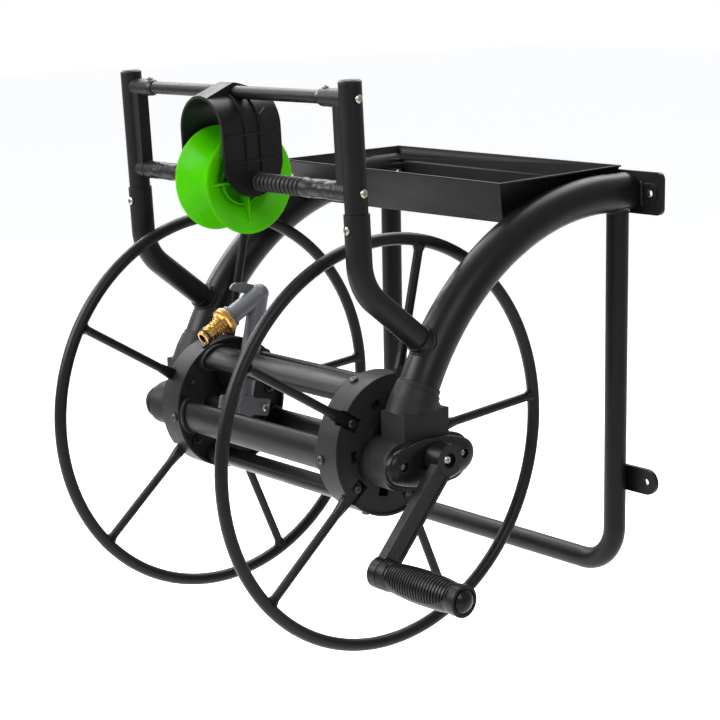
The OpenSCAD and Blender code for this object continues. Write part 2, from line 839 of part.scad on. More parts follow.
module left_wheel() { on_side(-1) wheel(); }
module right_wheel() { on_side(1) wheel(); }

// Through screws of the spokes, with a round nut on the inner side of the web
module spoke_screws() {
    color(zinc) at_axle() for (s = [-1, 1]) on_side(s) each_spoke() translate([0, screw_pitch, 0]) {
        translate([pocket_x + tab_t, 0, 0]) pan_screw(screw_r, 4.4, 2.8, pocket_x + tab_t - web_in + 6);
        difference() {
            rod_x(4.2, web_in - 1.5, web_in);
            rod_x(screw_r - nib, web_in - 3, web_in + 1);
        }
    }
}

// Drive shaft from the hub to the square in the crank's boss
module drive_shaft() {
    color(zinc) at_axle() difference() {
        union() {
            rod_x(axle_r, disc_in - 2, boss_in - 1);
            translate([boss_in - 2, -6.5, -6.5]) cube([square_l + 1, 13, 13]);
        }
        rod_x(3 + nib, crank_face - 30, crank_face + 10);
    }
}

// Hollow axle that brings the water in from the inlet side
module water_axle() {
    color(zinc) at_axle() on_side(-1) difference() {
        rod_x(axle_r, pipe_x + 12, housing_out - 0.5);
        rod_x(axle_r - 5, pipe_x + 11, housing_out + 1);
    }
}

// Places of the two ears of the swivel's flange, square to the riser
module swivel_ears() {
    for (s = [-1, 1]) spin(pipe_aim - 90) translate([0, s * 29, 0]) children();
}

// Swivel body on the end of the water axle, with a flange and a socket for the riser
module swivel_body() {
    color([0.6, 0.6, 0.66]) at_axle() on_side(-1) difference() {
        union() {
            rod_x(13.5, swivel_out, disc_in - 2);
            spin(pipe_aim - 90) translate([swivel_out + 5, 0, 0]) yz()
                linear_extrude(ear_back - swivel_out - 5)
                round_rect(72, 20, 3);
        }
        rod_x(axle_r + nib, pipe_x + 12, disc_in + 1);
        rod_x(6, pipe_x - 4, disc_in);
        swivel_ears() rod_x(hole_r, swivel_out, disc_in + 1);
        spin(pipe_aim) translate([pipe_x, 0, 0]) rotate([-90, 0, 0]) cylinder(r = riser_r, h = 40);
    }
}

module swivel_screws() {
    color(zinc) at_axle() on_side(-1) swivel_ears() translate([swivel_out + 5, 0, 0]) mirror([1, 0, 0])
        pan_screw(screw_r, 4.6, 3, 18);
}

// Moves to the elbow of the outlet, with Y along the pipe's second run
module at_elbow() {
    at_axle() translate([-pipe_x, elbow_r * cos(pipe_aim), elbow_r * sin(pipe_aim)]) spin(pipe_turn)
        children();
}

// Outlet pipe: a riser between two drum tubes, a sharp elbow and the run to the connector
module outlet_pipe() {
    color([0.6, 0.6, 0.66]) difference() {
        union() {
            at_axle() translate([-pipe_x, 0, 0]) spin(pipe_aim) rotate([-90, 0, 0])
                cylinder(r = riser_r, h = elbow_r);
            at_elbow() {
                intersection() {
                    sphere(r = riser_r + 0.35);
                    cylinder(r = 2 * riser_r, h = 2 * riser_r + 0.5, center = true);
                }
                rotate([-90, 0, 0]) {
                    cylinder(r = pipe_r, h = pipe_run);
                    translate([0, 0, pipe_run - 6.5]) cylinder(r = nut_r - 2.8, h = 2.5);
                    translate([0, 0, pipe_run - 4.5]) cylinder(r = nut_r - 4, h = 4.5);
                    translate([0, 0, pipe_run - 2.5]) cylinder(r = nut_r - 2.2, h = 2.5);
                }
            }
            at_axle() translate([-pipe_x - 6.5, elbow_r * cos(pipe_aim), elbow_r * sin(pipe_aim)])
                yz() linear_extrude(3) polygon([[0.5, 9], [-17.5, 14.5], [-30.5, 15.8], [-34.5, 14.7],
                    [-38.4, 11], [-38.1, 9.1], [-35.8, 7.7], [-18, 1.7], [-1.5, -1.5]]);
        }
        at_axle() rod_x(13.5, -pipe_x - 20, -pipe_x + 20);
        at_elbow() rotate([-90, 0, 0]) cylinder(r = pipe_r - 4, h = pipe_run + 1);
    }
}

// Connector: knurled nut, collar with flats, stepped neck and a nose with a groove for the ring
module brass_connector() {
    nose_end = 40;
    color("goldenrod") at_elbow() rotate([-90, 0, 0]) translate([0, 0, pipe_run]) difference() {
        union() {
            cylinder(r1 = nut_r - 1, r2 = nut_r, h = 1);
            translate([0, 0, 1]) cylinder(r = nut_r, h = 6);
            translate([0, 0, 7]) cylinder(r1 = nut_r, r2 = nut_r - 2.5, h = 1.5);
            translate([0, 0, 8]) cylinder(r = nut_r - 4.4, h = 4.5, $fn = 8);
            translate([0, 0, 12]) cylinder(r = nose_r - 0.7, h = 8);
            translate([0, 0, 13.2]) cylinder(r = nose_r + 1.4, h = 2);
            translate([0, 0, 16.4]) cylinder(r = nose_r + 1, h = 2);
            translate([0, 0, 19.6]) cylinder(r = nose_r + 0.6, h = 3.6);
            translate([0, 0, 23]) cylinder(r = nose_r - 1.3, h = 3);
            translate([0, 0, 25.4]) cylinder(r = nose_r + 0.9, h = 5.4);
            translate([0, 0, 30]) cylinder(r = nose_r, h = nose_end - 31);
            translate([0, 0, nose_end - 1]) cylinder(r1 = nose_r, r2 = nose_r - 1, h = 1);
        }
        translate([0, 0, -1]) cylinder(r = nose_r - 3, h = 60);
        for (i = [0:35]) rotate([0, 0, i * 10]) translate([nut_r + 0.1, 0, 1.6])
            cylinder(r = 0.6, h = 4.8, $fn = 12);
        translate([0, 0, 33.9]) difference() {
            cylinder(r = nose_r + 2, h = 2.8);
            translate([0, 0, -1]) cylinder(r = nose_r - 1.6, h = 5);
        }
    }
}

module connector_ring() {
    color([0.06, 0.06, 0.06]) at_elbow() rotate([-90, 0, 0]) translate([0, 0, pipe_run + 35.3])
        rotate_extrude() translate([nose_r - 0.3, 0]) circle(r = 1.2);
}

// Crank arm with a square in its upper boss and a hole for the grip pin
module crank_arm() {
    x0 = crank_face - arm_t;
    color(steel) at_axle() difference() {
        union() {
            rod_x(boss_r, boss_in, crank_face);
            spin(crank_turn) {
                translate([x0, 0, -arm_w / 2]) cube([arm_t, crank_r, arm_w]);
                translate([0, crank_r, 0]) rod_x(boss_r - 0.5, x0, crank_face);
            }
        }
        translate([boss_in - 1, -6.5 - nib, -6.5 - nib]) cube([square_l + 1, 13 + 2 * nib, 13 + 2 * nib]);
        rod_x(3 + slip_gap, 0, crank_face + 1);
        rod_x(8, crank_face - 6, crank_face + 1);
        spin(crank_turn) {
            translate([crank_face - 1.2, 15, -arm_w / 2 + 3.5]) cube([5, crank_r - 35, arm_w - 7]);
            translate([0, crank_r, 0]) rod_x(pin_r + nib, 0, crank_face + 1);
        }
    }
}

module crank_screw() {
    color(zinc) at_axle() translate([crank_face - 6, 0, 0]) pan_screw(3, 4.8, 3, 18);
}

// Moves to the grip's pin
module at_grip() {
    at_axle() translate([0, pin_y, pin_z]) children();
}

module grip_pin() {
    x0 = crank_face - arm_t;
    color(zinc) at_grip() {
        rod_x(8, x0 - 4, x0);
        rod_x(pin_r, x0 - 1, grip_out - 8);
        rod_x(7.5, grip_out - 8, grip_out - 5);
    }
}

// Outer radius of the grip at a share t of its length: a barrel between two flared ends
function grip_shape(t) = t < 0.07 ? grip_r - 1.5 : t < 0.13 ? grip_r - 1.5 - 16 * (t - 0.07)
    : t < 0.87 ? grip_r - 2.5 * pow(abs(2 * (t - 0.13) / 0.74 - 1), 2)
    : t < 0.93 ? grip_r - 2.5 + 16 * (t - 0.87) : grip_r - 1.5;

// Barrel shaped grip with two oval fields of fine grooves
module grip() {
    steps = 30;
    grooves = 24;
    field = 0.84 * grip_l;
    widest = 70;
    color(plastic) at_grip() difference() {
        translate([grip_in, 0, 0]) rotate([0, 90, 0]) rotate_extrude()
            polygon(concat([[0, 0]], [for (i = [0:steps]) [grip_shape(i / steps), grip_l * i / steps]],
                [[0, grip_l]]));
        rod_x(pin_r + run_gap, grip_in - 1, grip_out + 1);
        rod_x(9.5, grip_out - 8 - face_gap, grip_out + 1);
        rod_x(13.4, grip_out - 1.5, grip_out + 1);
        for (i = [0:grooves - 1], side = [0, 180]) {
            u = 2 * (i + 0.5) / grooves - 1;
            reach = widest * sqrt(1 - u * u) + 4;
            x = grip_in + grip_l / 2 + u * field / 2;
            translate([x - 0.8, 0, 0]) yz() rotate([0, 0, crank_turn - 90 + side - reach])
                rotate_extrude(angle = 2 * reach) translate([grip_shape(0.5 + 0.42 * u) - 1.1, 0])
                    square([4, 1.7]);
        }
    }
}

// Domed cap in the end of the grip
module grip_cap() {
    dome = 5;
    rim = 11.6;
    ball = (rim * rim + dome * dome) / (2 * dome);
    steps = 8;
    color([0.05, 0.05, 0.05]) at_grip() translate([grip_out - 1.5, 0, 0]) rotate([0, 90, 0])
        rotate_extrude()
        polygon(concat([[0, -2.5], [9.4, -2.5], [9.4, 0], [rim, 0], [rim, 2]],
            [for (i = [1:steps]) [rim * (1 - i / steps),
                2 + sqrt(pow(ball, 2) - pow(rim * (1 - i / steps), 2)) - ball + dome]]));
}

// Flat facet on the rear upper corner of a cheek, from the rib to the rear edge
module hood_facet(z0, half, deep) {
    difference() {
        hull() {
            translate([half - 1, 10, z0 - 26]) cube([1.2, deep - 12, 1]);
            translate([half - 1, 10, z0 + 10]) cube([1.4, 1, 6]);
            translate([half - 14, deep - 3, z0 + 26]) cube([1, 1, 1]);
        }
        translate([0, 2 * deep, z0]) xz() cylinder(r = half - 1, h = 4 * deep, $fn = 144);
    }
}

// Hood: an arch of sheet over the pulley with round cheeks
module guide_hood() {
    half = hood_w / 2;
    deep = hood_d / 2;
    crown_z = bar_gap - 0.6;
    arch_mid = crown_z - half;
    cheek_mid = deep - hood_drop;
    boss = bar_r + 3.2;
    color(plastic) at_guide() translate([hood_x, 0, 0]) difference() {
        union() {
            intersection() {
                translate([0, deep, 0]) xz() linear_extrude(hood_d) difference() {
                    union() {
                        translate([0, arch_mid]) circle(r = half, $fn = 144);
                        translate([-half, -hood_drop]) square([hood_w, arch_mid + hood_drop]);
                    }
                    translate([0, arch_mid]) circle(r = half - hood_t, $fn = 144);
                    translate([-half + hood_t, -hood_drop - 1])
                        square([hood_w - 2 * hood_t, arch_mid + hood_drop + 1]);
                }
                translate([-half - 1, 0, 0]) yz() linear_extrude(hood_w + 2) {
                    translate([0, cheek_mid]) circle(r = deep);
                    translate([-deep - 1, cheek_mid]) square([hood_d + 2, 2 * bar_gap]);
                }
            }
            translate([0, 0, bar_gap]) rod_x(boss, -12, 12);
            for (s = [-1, 1]) on_side(s) {
                rod_x(bar_r + 5, half - 1, half + cheek_boss);
                for (z = [21, 50]) translate([half - 1, -deep + 4, z]) cube([3, hood_d - 8, 2]);
                for (y = [-10.5, 8.5]) translate([half - 1, y, 0]) cube([3, 2, arch_mid]);
                hood_facet(arch_mid, half, deep);
            }
            for (y = [-10.5, 8.5]) translate([0, y + 2, arch_mid]) xz() linear_extrude(2) difference() {
                circle(r = half + 2, $fn = 144);
                circle(r = half - 1, $fn = 144);
                translate([-hood_w, -2 * hood_w]) square(2 * hood_w);
            }
            for (m = [0, 1]) mirror([0, m, 0]) difference() {
                hull() {
                    translate([-12, 0, bar_gap - boss]) cube([24, boss - 2, 2 * boss - 2]);
                    translate([-12, 0, bar_gap]) rotate([0, 90, 0])
                        cylinder(r = boss - nib, h = 24, $fn = 32);
                    translate([-14, deep - 2, arch_mid + half - 9]) cube([28, 2, 7]);
                }
                translate([0, 2 * deep, arch_mid]) xz() cylinder(r = half - 1, h = 4 * deep, $fn = 144);
            }
        }
        for (z = [0, bar_gap]) translate([0, 0, z]) rod_x(bar_r + 0.25, -hood_w, hood_w);
        translate([0, 0, bar_gap]) rod_x(bar_r + 0.25, -hood_w, hood_w);
    }
}

// Ribbed sleeve: rings over the bar beside the hood, and a smooth cuff over the bracket's socket
module guide_sleeve(s) {
    start = s * hood_x + hood_w / 2 + cheek_boss + face_gap;
    ribbed = cuff_in - start;
    pitch = ribbed / sleeve_ribs;
    color(plastic) at_guide() on_side(s) difference() {
        union() {
            rod_x(sleeve_r - 1.8, start, cuff_in + 1);
            for (i = [0:sleeve_ribs - 1])
                rod_x(sleeve_r, start + (i + 0.25) * pitch, start + (i + 0.8) * pitch);
            rod_x(sleeve_r - nib, cuff_in, sleeve_out);
        }
        rod_x(bar_r + face_gap, start - 1, sleeve_out + 1);
        rod_x(socket_r + slip_gap, sleeve_out - socket_low_l + 15 - 1, sleeve_out + 1);
    }
}
module left_guide_sleeve() { guide_sleeve(-1); }
module right_guide_sleeve() { guide_sleeve(1); }

// Radius of the pulley's groove at a distance from its middle
function groove(x) = groove_r + (pulley_r - groove_r) * pow(abs(x) / (pulley_w / 2), 1.7);

// Pulley: a deep groove between two dished flanges, with webs from the hub to the shell
module guide_pulley() {
    half = pulley_w / 2;
    steps = 9;
    skin = 3;
    hub = bar_r + 4;
    hub_half = hood_w / 2 - hood_t - face_gap;
    rim = [for (i = [-steps:steps]) [groove(half * i / steps), half * i / steps]];
    dish = [for (i = [steps:-1:3]) [groove(half * i / steps) - skin - (i == steps ? 0 : 1),
        half * i / steps]];
    color([0.5, 0.85, 0.1]) at_guide() translate([hood_x, 0, 0]) difference() {
        union() {
            difference() {
                rotate([0, 90, 0]) rotate_extrude($fn = 120)
                    polygon(concat([[0, -half]], rim, [[0, half]]));
                for (s = [-1, 1]) on_side(s) rotate([0, 90, 0]) rotate_extrude($fn = 120)
                    polygon(concat([[hub, 3]], [for (i = [len(dish) - 1:-1:0]) dish[i]],
                        [[dish[0][0], half + 1], [hub, half + 1]]));
            }
            rod_x(hub, -hub_half, hub_half);
            for (s = [-1, 1]) on_side(s) difference() {
                rod_x(hub + 16, 2, half - 12);
                rod_x(hub + 14, 1, half);
            }
            for (s = [-1, 1], i = [0:pulley_webs - 1]) on_side(s) spin(i * 360 / pulley_webs)
                intersection() {
                translate([2, bar_r + 1, -1]) cube([half - 6, pulley_r - bar_r - 4, 2]);
                rotate([0, 90, 0]) rotate_extrude($fn = 96) polygon(concat([[bar_r, 2]],
                    [for (i = [2:steps]) [groove(half * i / steps) - 1.5, half * i / steps]], [[bar_r,
                        half]]));
            }
        }
        rod_x(bar_bore, -hood_w, hood_w);
    }
}

left_arch_tube();
right_arch_tube();
rear_frame_tube();
left_wall_plate();
right_wall_plate();
left_lower_tab();
right_lower_tab();
left_guide_arm();
right_guide_arm();
left_guide_post();
right_guide_post();
left_post_cap();
right_post_cap();
left_bar_bracket();
right_bar_bracket();
guide_top_bar();
guide_lower_bar();
post_screws();
arm_screws();
tool_tray();
tray_screws();
left_housing();
right_housing();
left_housing_cover();
right_housing_cover();
housing_screws();
left_bush();
right_bush();
inlet_spigot();
left_hub_disc();
right_hub_disc();
drum_tubes();
disc_screws();
left_wheel();
right_wheel();
spoke_screws();
drive_shaft();
water_axle();
swivel_body();
swivel_screws();
outlet_pipe();
brass_connector();
connector_ring();
crank_arm();
crank_screw();
grip_pin();
grip();
grip_cap();
guide_hood();
left_guide_sleeve();
right_guide_sleeve();
guide_pulley();
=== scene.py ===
# %% [markdown]
# # A wall mounted hose reel
# This notebook dresses a hose reel that hangs on a wall: a bent tube frame, two spoked wheels on a drum,
# a crank, a pulley under a sliding hood and a tool tray. The solid parts come from the imported model, so
# every tube and disc is already in its true place. Here they get their finishes, and the soft or small
# pieces that a solid model only hints at are modelled here. All sizes are in metres.

# %% Load the solid model
import math

import bpy
from mathutils import Matrix, Vector
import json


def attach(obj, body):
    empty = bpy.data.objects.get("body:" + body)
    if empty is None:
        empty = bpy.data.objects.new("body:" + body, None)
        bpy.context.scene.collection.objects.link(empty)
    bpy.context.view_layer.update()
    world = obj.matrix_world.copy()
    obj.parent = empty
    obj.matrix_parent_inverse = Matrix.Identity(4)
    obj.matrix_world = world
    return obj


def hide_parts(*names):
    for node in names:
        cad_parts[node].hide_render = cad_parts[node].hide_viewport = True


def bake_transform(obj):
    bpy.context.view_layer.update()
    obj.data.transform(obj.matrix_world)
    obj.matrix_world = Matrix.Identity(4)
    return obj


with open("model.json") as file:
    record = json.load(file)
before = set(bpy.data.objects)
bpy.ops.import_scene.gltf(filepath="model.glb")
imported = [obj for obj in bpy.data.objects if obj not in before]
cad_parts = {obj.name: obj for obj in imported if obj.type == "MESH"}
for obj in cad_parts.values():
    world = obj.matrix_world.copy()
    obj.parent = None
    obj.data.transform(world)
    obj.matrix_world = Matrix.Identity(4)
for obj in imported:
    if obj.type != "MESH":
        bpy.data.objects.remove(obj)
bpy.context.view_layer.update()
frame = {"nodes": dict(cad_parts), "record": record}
nodes = frame["nodes"]
MM = 0.001
SIDES = ((-1, "left"), (1, "right"))

# %% [markdown]
# ## Camera
# The photograph looks at the reel from the crank side, a little from above, through a long lens. A camera
# is described by where it stands, which way it points and how long its lens is. Two shifts move the
# picture inside the frame without turning the camera, which keeps the upright posts upright.

# %% Camera
CAMERA_PLACE = Vector((1.6166, -1.5917, 0.4124))
CAMERA_HEADING = 51.0
CAMERA_PITCH = -12.02
CAMERA_ROLL = -1.3
LENS_MM = 93.13
SENSOR_MM = 36
CAMERA_SHIFT = (0.041, 0.0179)

camera_data = bpy.data.cameras.new("photo_camera")
camera_data.sensor_width = SENSOR_MM
camera_data.lens = LENS_MM
camera_data.shift_x = CAMERA_SHIFT[0]
camera_data.shift_y = CAMERA_SHIFT[1]
camera = bpy.data.objects.new("photo_camera", camera_data)
turn = Matrix.Rotation(math.radians(CAMERA_HEADING), 4, "Z")
tilt = Matrix.Rotation(math.radians(90 + CAMERA_PITCH), 4, "X")
roll = Matrix.Rotation(math.radians(CAMERA_ROLL), 4, "Z")
camera.matrix_world = Matrix.Translation(CAMERA_PLACE) @ turn @ tilt @ roll
bpy.context.scene.collection.objects.link(camera)
bpy.context.scene.camera = camera
print("camera at", tuple(round(c, 3) for c in CAMERA_PLACE))

# %% [markdown]
# ## Studio
# A black product is lit by what it reflects. A big soft box high behind the reel draws a broad highlight
# along the top of every tube. One in front, to the left, lifts the faces that look that way, a narrow one
# at the far left picks out the left edges, and a weak one at the right lights the near face of the pulley.
# The rest is an even pale fill. The camera sees plain white behind the object, while reflections see a
# tone between the fill and white, so the black paint stays black. The Light Path node tells which kind of
# ray is looking.

# %% World
FILL_COLOUR = (0.92, 0.95, 1.0, 1)
FILL_STRENGTH = 0.50
REFLECTED_SHARE = 0.35

world = bpy.data.worlds.new("studio")
bpy.context.scene.world = world
world.use_nodes = True
sky = world.node_tree
sky.nodes.clear()
out = sky.nodes.new("ShaderNodeOutputWorld")
choose = sky.nodes.new("ShaderNodeMixShader")
fill = sky.nodes.new("ShaderNodeBackground")
white = sky.nodes.new("ShaderNodeBackground")
fill.inputs["Color"].default_value = FILL_COLOUR
fill.inputs["Strength"].default_value = FILL_STRENGTH
white.inputs["Color"].default_value = (1, 1, 1, 1)
white.inputs["Strength"].default_value = 1.0


def seen_directly(tree):
    """Gives 1 for camera and transmission rays, less for reflections, and 0 for the rays that light."""
    rays = tree.nodes.new("ShaderNodeLightPath")
    dimmed = tree.nodes.new("ShaderNodeMath")
    dimmed.operation = "MULTIPLY"
    dimmed.inputs[1].default_value = REFLECTED_SHARE
    first = tree.nodes.new("ShaderNodeMath")
    first.operation = "MAXIMUM"
    second = tree.nodes.new("ShaderNodeMath")
    second.operation = "MAXIMUM"
    tree.links.new(rays.outputs["Is Camera Ray"], first.inputs[0])
    tree.links.new(rays.outputs["Is Glossy Ray"], dimmed.inputs[0])
    tree.links.new(dimmed.outputs["Value"], first.inputs[1])
    tree.links.new(first.outputs["Value"], second.inputs[0])
    tree.links.new(rays.outputs["Is Transmission Ray"], second.inputs[1])
    return second.outputs["Value"]


sky.links.new(seen_directly(sky), choose.inputs["Fac"])
sky.links.new(fill.outputs["Background"], choose.inputs[1])
sky.links.new(white.outputs["Background"], choose.inputs[2])
sky.links.new(choose.outputs["Shader"], out.inputs["Surface"])
print("fill strength", FILL_STRENGTH)

# %% Lamps
MIDDLE = (0.0, -0.30, -0.05)


def soft_box(name, place, width, height, power):
    """Adds a rectangular lamp at place, turned so that it shines at the middle of the reel."""
    bpy.ops.object.light_add(type="AREA", location=place)
    lamp = bpy.context.object
    lamp.name = name
    lamp.data.shape = "RECTANGLE"
    lamp.data.size = width
    lamp.data.size_y = height
    lamp.data.energy = power
    toward = (Vector(MIDDLE) - Vector(place)).to_track_quat("-Z", "Y")
    lamp.rotation_euler = toward.to_euler()


soft_box("back_box", (-1.1, 0.9, 2.1), width=2.6, height=2.2, power=112)
soft_box("left_box", (-2.7, -0.2, 1.45), width=1.3, height=1.7, power=55)
soft_box("front_box", (-0.9, -2.1, 1.4), width=1.6, height=1.6, power=120)
soft_box("right_box", (2.4, -1.2, 1.5), width=1.2, height=1.6, power=34)

# %% [markdown]
# ## Floor
# The floor is plain pale paint. A little light of its own, in full for the camera and in part for
# reflections, lifts it to the white of the background, and the soft shadow under the reel stays.

# %% Floor
FLOOR_DROP = 0.75
FLOOR_SIZE = 40
FLOOR_COLOUR = (0.86, 0.86, 0.86, 1)
FLOOR_ROUGHNESS = 0.9
FLOOR_GLOW = 0.55

bpy.ops.object.select_all(action="DESELECT")
bpy.ops.mesh.primitive_plane_add(size=FLOOR_SIZE, location=(0, 0, -FLOOR_DROP))
floor = bpy.context.object
floor.name = "studio_floor"
floor_paint = bpy.data.materials.new("pale_floor")
floor_paint.use_nodes = True
floor_tree = floor_paint.node_tree
floor_shader = floor_tree.nodes["Principled BSDF"]
floor_shader.inputs["Base Color"].default_value = FLOOR_COLOUR
floor_shader.inputs["Roughness"].default_value = FLOOR_ROUGHNESS
glow = floor_tree.nodes.new("ShaderNodeMath")
glow.operation = "MULTIPLY"
glow.inputs[1].default_value = FLOOR_GLOW
floor_tree.links.new(seen_directly(floor_tree), glow.inputs[0])
floor_tree.links.new(glow.outputs["Value"], floor_shader.inputs["Emission Strength"])
floor_shader.inputs["Emission Color"].default_value = (1, 1, 1, 1)
floor.data.materials.append(floor_paint)
print("floor", FLOOR_DROP, "m below the middle of the wall bolts")

# %% [markdown]
# ## Finishes
# Every finish comes from the same small recipe: a base colour that varies a little, a roughness that
# varies a little, and a fine bump. A bevel node rounds sharp edges in the shading only, which is how
# moulded and powder coated edges catch a thin line of light.

# %% Noise, and what it steers
NOISE_ROUGHNESS = 0.6
NOISE_RANGE = (0.3, 0.7)


def noise(tree, scale, detail=4.0):
    """A noise texture in object coordinates, at scale bumps per metre."""
    place = tree.nodes.new("ShaderNodeTexCoord")
    texture = tree.nodes.new("ShaderNodeTexNoise")
    texture.inputs["Scale"].default_value = scale
    texture.inputs["Detail"].default_value = detail
    texture.inputs["Roughness"].default_value = NOISE_ROUGHNESS
    tree.links.new(place.outputs["Object"], texture.inputs["Vector"])
    return texture.outputs["Fac"]


def spread(tree, value, low, high):
    """Maps the usual range of a noise onto low to high."""
    ramp = tree.nodes.new("ShaderNodeMapRange")
    ramp.inputs["From Min"].default_value = NOISE_RANGE[0]
    ramp.inputs["From Max"].default_value = NOISE_RANGE[1]
    ramp.inputs["To Min"].default_value = low
    ramp.inputs["To Max"].default_value = high
    tree.links.new(value, ramp.inputs["Value"])
    return ramp.outputs["Result"]


def blend_colour(tree, value, first, second):
    """Mixes two colours by a 0 to 1 value."""
    mix = tree.nodes.new("ShaderNodeMix")
    mix.data_type = "RGBA"
    mix.inputs["A"].default_value = (*first, 1)
    mix.inputs["B"].default_value = (*second, 1)
    tree.links.new(value, mix.inputs["Factor"])
    return mix.outputs["Result"]


# %% Edges and bump
EDGE_SAMPLES = 4


def surface(tree, shader, height, strength, depth, edge):
    """Adds a bump of a given depth, on top of edges that are rounded by a bevel of a given radius."""
    soft_edge = tree.nodes.new("ShaderNodeBevel")
    soft_edge.samples = EDGE_SAMPLES
    soft_edge.inputs["Radius"].default_value = edge
    bump = tree.nodes.new("ShaderNodeBump")
    bump.inputs["Strength"].default_value = strength
    bump.inputs["Distance"].default_value = depth
    tree.links.new(height, bump.inputs["Height"])
    tree.links.new(soft_edge.outputs["Normal"], bump.inputs["Normal"])
    tree.links.new(bump.outputs["Normal"], shader.inputs["Normal"])


# %% The recipe
finishes = {}


def add_finish(slot, cloud, dark, pale, rough, grain, bump, edge, shine=0.5, metal=0.0):
    """Makes the finish of a slot.

    The colour goes from dark to pale in patches, cloud of them to the metre. rough holds the patches
    per metre of the roughness and its two ends, grain the bumps per metre and their detail, and bump
    its strength and depth. edge is the radius of a rounded edge.
    """
    finish = bpy.data.materials.new(slot)
    finish.use_nodes = True
    tree = finish.node_tree
    shader = tree.nodes["Principled BSDF"]
    colour = blend_colour(tree, noise(tree, cloud), dark, pale)
    tree.links.new(colour, shader.inputs["Base Color"])
    patches, smoothest, roughest = rough
    tree.links.new(spread(tree, noise(tree, patches), smoothest, roughest), shader.inputs["Roughness"])
    shader.inputs["Specular IOR Level"].default_value = shine
    shader.inputs["Metallic"].default_value = metal
    surface(tree, shader, noise(tree, *grain), *bump, edge)
    finishes[slot] = finish
    print("finish", slot)
    return shader


# %% [markdown]
# ## Powder coat
# The steel is powder coated: a satin black skin with a faint orange peel, a little cloudier where the
# powder lies thicker. Two noises do it, a wide one for colour and a fine one for the peel.

# %% Powder coat
add_finish("black_paint", cloud=9, dark=(0.0030, 0.0030, 0.0034), pale=(0.0048, 0.0048, 0.0052),
           rough=(45, 0.33, 0.42), shine=0.16, grain=(900, 3.0), bump=(0.30, 0.3 * MM), edge=0.9 * MM)

# %% [markdown]
# ## Moulded plastic and rubber
# The hub discs and housings are moulded with a fine spark grain, so they are duller than the tubes. The
# hood, the brackets and the post caps are smoother. The crank arm and the housing covers have a satin
# shine, and so, a little less, has the grip. Its end cap is glossy. The rubber sleeves are dull on the
# ribs, and wrinkled where the cuff is shrunk over its socket.

# %% Moulded black plastic
add_finish("black_plastic", cloud=14, dark=(0.0120, 0.0120, 0.0125), pale=(0.0170, 0.0170, 0.0176),
           rough=(70, 0.38, 0.48), shine=0.09, grain=(1700, 3.0), bump=(0.35, 0.3 * MM), edge=1.5 * MM)
add_finish("smooth_plastic", cloud=16, dark=(0.0040, 0.0040, 0.0043), pale=(0.0065, 0.0065, 0.0069),
           rough=(70, 0.34, 0.44), shine=0.16, grain=(1300, 3.0), bump=(0.25, 0.2 * MM), edge=0.8 * MM)
add_finish("satin_black", cloud=18, dark=(0.0040, 0.0040, 0.0043), pale=(0.0062, 0.0062, 0.0066),
           rough=(60, 0.24, 0.34), shine=0.17, grain=(900, 3.0), bump=(0.20, 0.2 * MM), edge=0.8 * MM)
add_finish("grip_plastic", cloud=18, dark=(0.0040, 0.0040, 0.0043), pale=(0.0062, 0.0062, 0.0066),
           rough=(60, 0.30, 0.40), shine=0.13, grain=(900, 3.0), bump=(0.20, 0.2 * MM), edge=0.3 * MM)
add_finish("gloss_black", cloud=12, dark=(0.0045, 0.0045, 0.0050), pale=(0.0065, 0.0065, 0.0070),
           rough=(40, 0.10, 0.16), shine=0.14, grain=(140, 2.0), bump=(0.06, 0.2 * MM), edge=0.6 * MM)

# %% Rubber
add_finish("black_rubber", cloud=30, dark=(0.0060, 0.0060, 0.0062), pale=(0.0095, 0.0095, 0.0098),
           rough=(120, 0.40, 0.56), shine=0.20, grain=(500, 3.0), bump=(0.30, 0.4 * MM), edge=0.4 * MM)
add_finish("shrunk_rubber", cloud=60, dark=(0.0050, 0.0050, 0.0052), pale=(0.0085, 0.0085, 0.0088),
           rough=(160, 0.28, 0.40), shine=0.15, grain=(95, 1.0), bump=(0.35, 1.2 * MM), edge=0.4 * MM)

# %% [markdown]
# ## Green pulley
# The pulley is bright moulded plastic, smooth enough for broad soft highlights. A little light goes into
# the plastic, which softens the shade between the webs.

# %% Green pulley plastic
GLOW_THROUGH = 0.10
GLOW_DEPTHS = (2 * MM, 5 * MM, 0.5 * MM)

pulley_shader = add_finish("green_plastic", cloud=20, dark=(0.060, 0.41, 0.0006), pale=(0.074, 0.46, 0.0010),
                           rough=(70, 0.18, 0.26), shine=0.10, grain=(700, 2.0), bump=(0.10, 0.1 * MM),
                           edge=0.8 * MM)
pulley_shader.inputs["Subsurface Weight"].default_value = GLOW_THROUGH
pulley_shader.inputs["Subsurface Radius"].default_value = GLOW_DEPTHS
pulley_shader.inputs["Subsurface Scale"].default_value = 1.0

# %% [markdown]
# ## Metals and small parts
# The hose connector is turned brass with a satin skin. The screws are zinc plated, apart from the ones in
# the drum, which are blackened. The outlet pipe is grey moulded plastic, and the bushes are pale plastic.

# %% Metals
add_finish("brass", cloud=60, dark=(0.48, 0.27, 0.080), pale=(0.58, 0.34, 0.110),
           rough=(200, 0.20, 0.30), metal=1.0, grain=(1800, 2.0), bump=(0.12, 0.1 * MM), edge=0.4 * MM)
add_finish("zinc", cloud=120, dark=(0.30, 0.28, 0.22), pale=(0.44, 0.42, 0.35),
           rough=(300, 0.22, 0.32), metal=1.0, grain=(2200, 2.0), bump=(0.12, 0.1 * MM), edge=0.3 * MM)
add_finish("black_zinc", cloud=150, dark=(0.022, 0.022, 0.023), pale=(0.036, 0.036, 0.038),
           rough=(300, 0.32, 0.45), metal=0.6, grain=(2200, 2.0), bump=(0.12, 0.1 * MM), edge=0.3 * MM)

